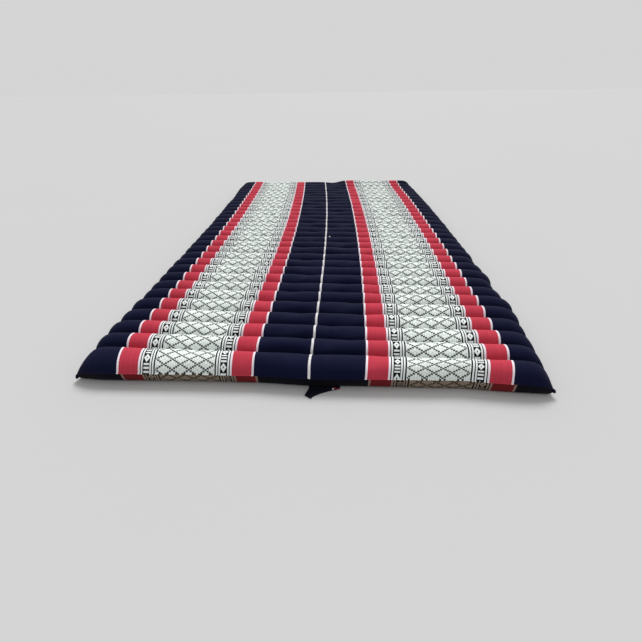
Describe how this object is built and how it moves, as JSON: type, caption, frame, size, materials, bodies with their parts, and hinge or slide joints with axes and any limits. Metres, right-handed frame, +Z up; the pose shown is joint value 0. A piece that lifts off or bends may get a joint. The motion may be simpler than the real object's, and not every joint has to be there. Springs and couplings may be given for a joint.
{
  "type": "kapok floor mattress",
  "caption": "Flat kapok-filled floor mattress of crosswise sewn rolls under a striped cotton cover with woven diamond bands, pointed corners and a gathered cloth end at the front.",
  "frame": {"origin": "middle of the footprint, on the floor", "axes": "+X across the mattress, +Y along it from the front edge with the gathered end to the back edge, +Z up"},
  "size_m": [1.1692, 2.042, 0.0794],
  "materials": {
    "woven_cover": "matt woven cotton: navy, red and white lengthwise stripes, with black-and-white diamond bands",
    "gathered_cloth": "matt navy cotton, gathered"
  },
  "bodies": {
    "root": {"mattress": "woven_cover", "front_tab": "gathered_cloth"}
  },
  "joints": []
}
